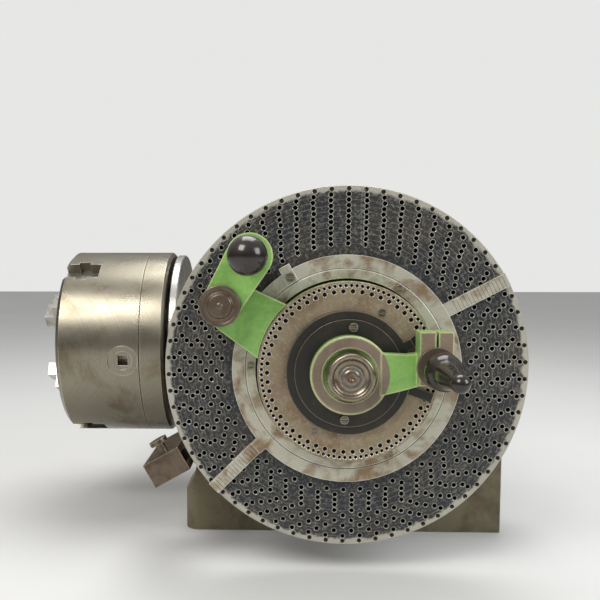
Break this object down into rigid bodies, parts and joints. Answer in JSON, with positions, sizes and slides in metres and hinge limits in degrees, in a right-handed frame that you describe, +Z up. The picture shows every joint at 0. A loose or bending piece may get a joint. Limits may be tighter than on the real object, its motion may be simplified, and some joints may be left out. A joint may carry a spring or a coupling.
{
  "type": "dividing head",
  "caption": "Universal dividing head on a cradle base, with a large drilled index plate, sector arms, a second fine-indexing crank and a three-jaw chuck.",
  "frame": {"origin": "underside of the base, below the point where the spindle axis and the index crank axis cross", "axes": "+Z up, X along the spindle with its nose towards -X, Y along the index crank shaft with the index plates facing -Y"},
  "size_m": [0.477, 0.4778, 0.3308],
  "materials": {
    "base_iron": "worn paint over rough iron",
    "block_iron": "oiled iron",
    "chuck_steel": "worn ground steel",
    "bright_steel": "turned",
    "plate_steel": "blued and worn",
    "sector_steel": "worn, rust stained",
    "bronze_plate": "dull",
    "bush_bronze": "machined",
    "green_paint": "chipped",
    "black_steel": "blackened",
    "brown_steel": "turned and browned",
    "screw_steel": "worn",
    "spring_steel": "oiled",
    "ball_black": "polished",
    "gear_steel": "machined"
  },
  "bodies": {
    "base": {"base_casting": "base_iron", "strap_front": "base_iron", "strap_rear": "base_iron", "strap_bolts": "screw_steel"},
    "block": {"swivel_block": "block_iron", "front_trunnion": "block_iron", "trunnion_screws": "screw_steel", "front_bush": "bush_bronze", "rear_bush": "bush_bronze", "stop_bracket": "brown_steel", "stop_screw": "screw_steel"},
    "spindle": {"spindle": "bright_steel", "spindle_nut": "brown_steel", "guard_disc": "bright_steel", "chuck_backplate": "chuck_steel", "chuck_body": "chuck_steel", "chuck_screws": "screw_steel", "worm_wheel": "bush_bronze"},
    "scroll": {"scroll_ring": "gear_steel"},
    "jaw_1": {"chuck_jaw_1": "bright_steel"},
    "jaw_2": {"chuck_jaw_2": "bright_steel"},
    "jaw_3": {"chuck_jaw_3": "bright_steel"},
    "pinion_1": {"chuck_pinion_1": "chuck_steel"},
    "pinion_2": {"chuck_pinion_2": "chuck_steel"},
    "pinion_3": {"chuck_pinion_3": "chuck_steel"},
    "worm": {"worm_shaft": "gear_steel", "worm_gear": "gear_steel"},
    "index_plate": {"large_index_plate": "plate_steel", "plate_carrier": "brown_steel", "sector_keeper": "sector_steel", "keeper_screws": "screw_steel"},
    "stop": {"stop_finger": "black_steel"},
    "sector_first": {"sector_arm_first": "sector_steel"},
    "sector_second": {"sector_arm_second": "sector_steel", "sector_lock_screw": "screw_steel"},
    "large_crank": {"crank_shaft": "bright_steel", "crank_gear": "gear_steel", "crank_casting": "green_paint", "fixed_sun": "gear_steel", "small_index_plate": "bronze_plate", "small_plate_screws": "screw_steel", "small_retainer": "black_steel", "small_retainer_screws": "screw_steel", "pivot_cap": "brown_steel"},
    "link": {"crank_link": "green_paint", "index_sleeve": "brown_steel", "index_spring": "spring_steel"},
    "index_plunger": {"index_pin": "bright_steel", "index_knob": "ball_black"},
    "slow_gear": {"slow_sun": "gear_steel"},
    "small_sector_first": {"small_sector_first": "black_steel"},
    "small_sector_second": {"small_sector_second": "black_steel"},
    "small_crank": {"small_crank": "green_paint", "carrier_shaft": "gear_steel", "hub_nut": "brown_steel", "small_sleeve": "brown_steel", "small_spring": "spring_steel"},
    "planets": {"planet_pair": "gear_steel"},
    "small_plunger": {"small_pin": "bright_steel", "small_knob": "ball_black"}
  },
  "joints": [
    {"name": "head_swivel", "type": "hinge", "parent": "base", "child": "block", "pos_m": [0, 0, 0.1778], "axis": [0, 1, 0], "range_deg": [-5, 95]},
    {"name": "large_crank_turn", "type": "hinge", "parent": "block", "child": "large_crank", "pos_m": [0, 0, 0.1778], "axis": [0, -1, 0], "continuous": true},
    {"name": "spindle_turn", "type": "hinge", "parent": "block", "child": "spindle", "pos_m": [0, 0, 0.1778], "axis": [-1, 0, 0], "continuous": true},
    {"name": "worm_turn", "type": "hinge", "parent": "block", "child": "worm", "pos_m": [0, 0, 0.1258], "axis": [0, -1, 0], "continuous": true},
    {"name": "index_plate_turn", "type": "hinge", "parent": "block", "child": "index_plate", "pos_m": [0, 0, 0.1778], "axis": [0, -1, 0], "continuous": true},
    {"name": "stop_finger_slide", "type": "slide", "parent": "block", "child": "stop", "axis": [0, -1, 0], "range_m": [0, 0.0068]},
    {"name": "first_sector_turn", "type": "hinge", "parent": "index_plate", "child": "sector_first", "pos_m": [0, 0, 0.1778], "axis": [0, -1, 0], "continuous": true},
    {"name": "second_sector_turn", "type": "hinge", "parent": "sector_first", "child": "sector_second", "pos_m": [0, 0, 0.1778], "axis": [0, -1, 0], "range_deg": [-181, 161]},
    {"name": "link_swing", "type": "hinge", "parent": "large_crank", "child": "link", "pos_m": [-0.1026, 0, 0.2328], "axis": [0, -1, 0], "range_deg": [-23.42, 43.17]},
    {"name": "index_pin_slide", "type": "slide", "parent": "link", "child": "index_plunger", "axis": [0, 1, 0], "range_m": [0, 0.011], "deforming": ["index_spring"]},
    {"name": "small_crank_turn", "type": "hinge", "parent": "large_crank", "child": "small_crank", "pos_m": [0, 0, 0.1778], "axis": [0, -1, 0], "continuous": true},
    {"name": "planet_turn", "type": "hinge", "parent": "small_crank", "child": "planets", "pos_m": [0.0315, 0, 0.1778], "axis": [0, -1, 0], "continuous": true},
    {"name": "slow_gear_turn", "type": "hinge", "parent": "large_crank", "child": "slow_gear", "pos_m": [0, 0, 0.1778], "axis": [0, -1, 0], "continuous": true},
    {"name": "small_first_sector_turn", "type": "hinge", "parent": "large_crank", "child": "small_sector_first", "pos_m": [0, 0, 0.1778], "axis": [0, -1, 0], "continuous": true},
    {"name": "small_second_sector_turn", "type": "hinge", "parent": "small_sector_first", "child": "small_sector_second", "pos_m": [0, 0, 0.1778], "axis": [0, -1, 0], "range_deg": [-29, 308]},
    {"name": "small_pin_slide", "type": "slide", "parent": "small_crank", "child": "small_plunger", "axis": [0, 1, 0], "range_m": [0, 0.0058], "deforming": ["small_spring"]},
    {"name": "scroll_turn", "type": "hinge", "parent": "spindle", "child": "scroll", "pos_m": [0, 0, 0.1778], "axis": [-1, 0, 0], "range_deg": [-900, 450]},
    {"name": "jaw_1_slide", "type": "slide", "parent": "spindle", "child": "jaw_1", "axis": [0, -0.5878, 0.809], "range_m": [-0.02, 0.01]},
    {"name": "pinion_1_turn", "type": "hinge", "parent": "spindle", "child": "pinion_1", "pos_m": [-0.2158, 0, 0.1778], "axis": [0, -0.9945, -0.1045], "range_deg": [-3600, 1800]},
    {"name": "jaw_2_slide", "type": "slide", "parent": "spindle", "child": "jaw_2", "axis": [0, 0.9945, 0.1045], "range_m": [-0.02, 0.01]},
    {"name": "pinion_2_turn", "type": "hinge", "parent": "spindle", "child": "pinion_2", "pos_m": [-0.2158, 0, 0.1778], "axis": [0, 0.4067, 0.9135], "range_deg": [-3600, 1800]},
    {"name": "jaw_3_slide", "type": "slide", "parent": "spindle", "child": "jaw_3", "axis": [0, -0.4067, -0.9135], "range_m": [-0.02, 0.01]},
    {"name": "pinion_3_turn", "type": "hinge", "parent": "spindle", "child": "pinion_3", "pos_m": [-0.2158, 0, 0.1778], "axis": [0, 0.5878, -0.809], "range_deg": [-3600, 1800]}
  ],
  "couplings": [
    {"joint": "spindle_turn", "follows": "large_crank_turn", "ratio": 0.025},
    {"joint": "worm_turn", "follows": "large_crank_turn", "ratio": -1},
    {"joint": "planet_turn", "follows": "small_crank_turn", "ratio": 1.1},
    {"joint": "slow_gear_turn", "follows": "small_crank_turn", "ratio": 0.01},
    {"joint": "jaw_1_slide", "follows": "scroll_turn", "m_per_rad": 0.0012732},
    {"joint": "pinion_1_turn", "follows": "scroll_turn", "ratio": 4},
    {"joint": "jaw_2_slide", "follows": "scroll_turn", "m_per_rad": 0.0012732},
    {"joint": "pinion_2_turn", "follows": "scroll_turn", "ratio": 4},
    {"joint": "jaw_3_slide", "follows": "scroll_turn", "m_per_rad": 0.0012732},
    {"joint": "pinion_3_turn", "follows": "scroll_turn", "ratio": 4}
  ]
}
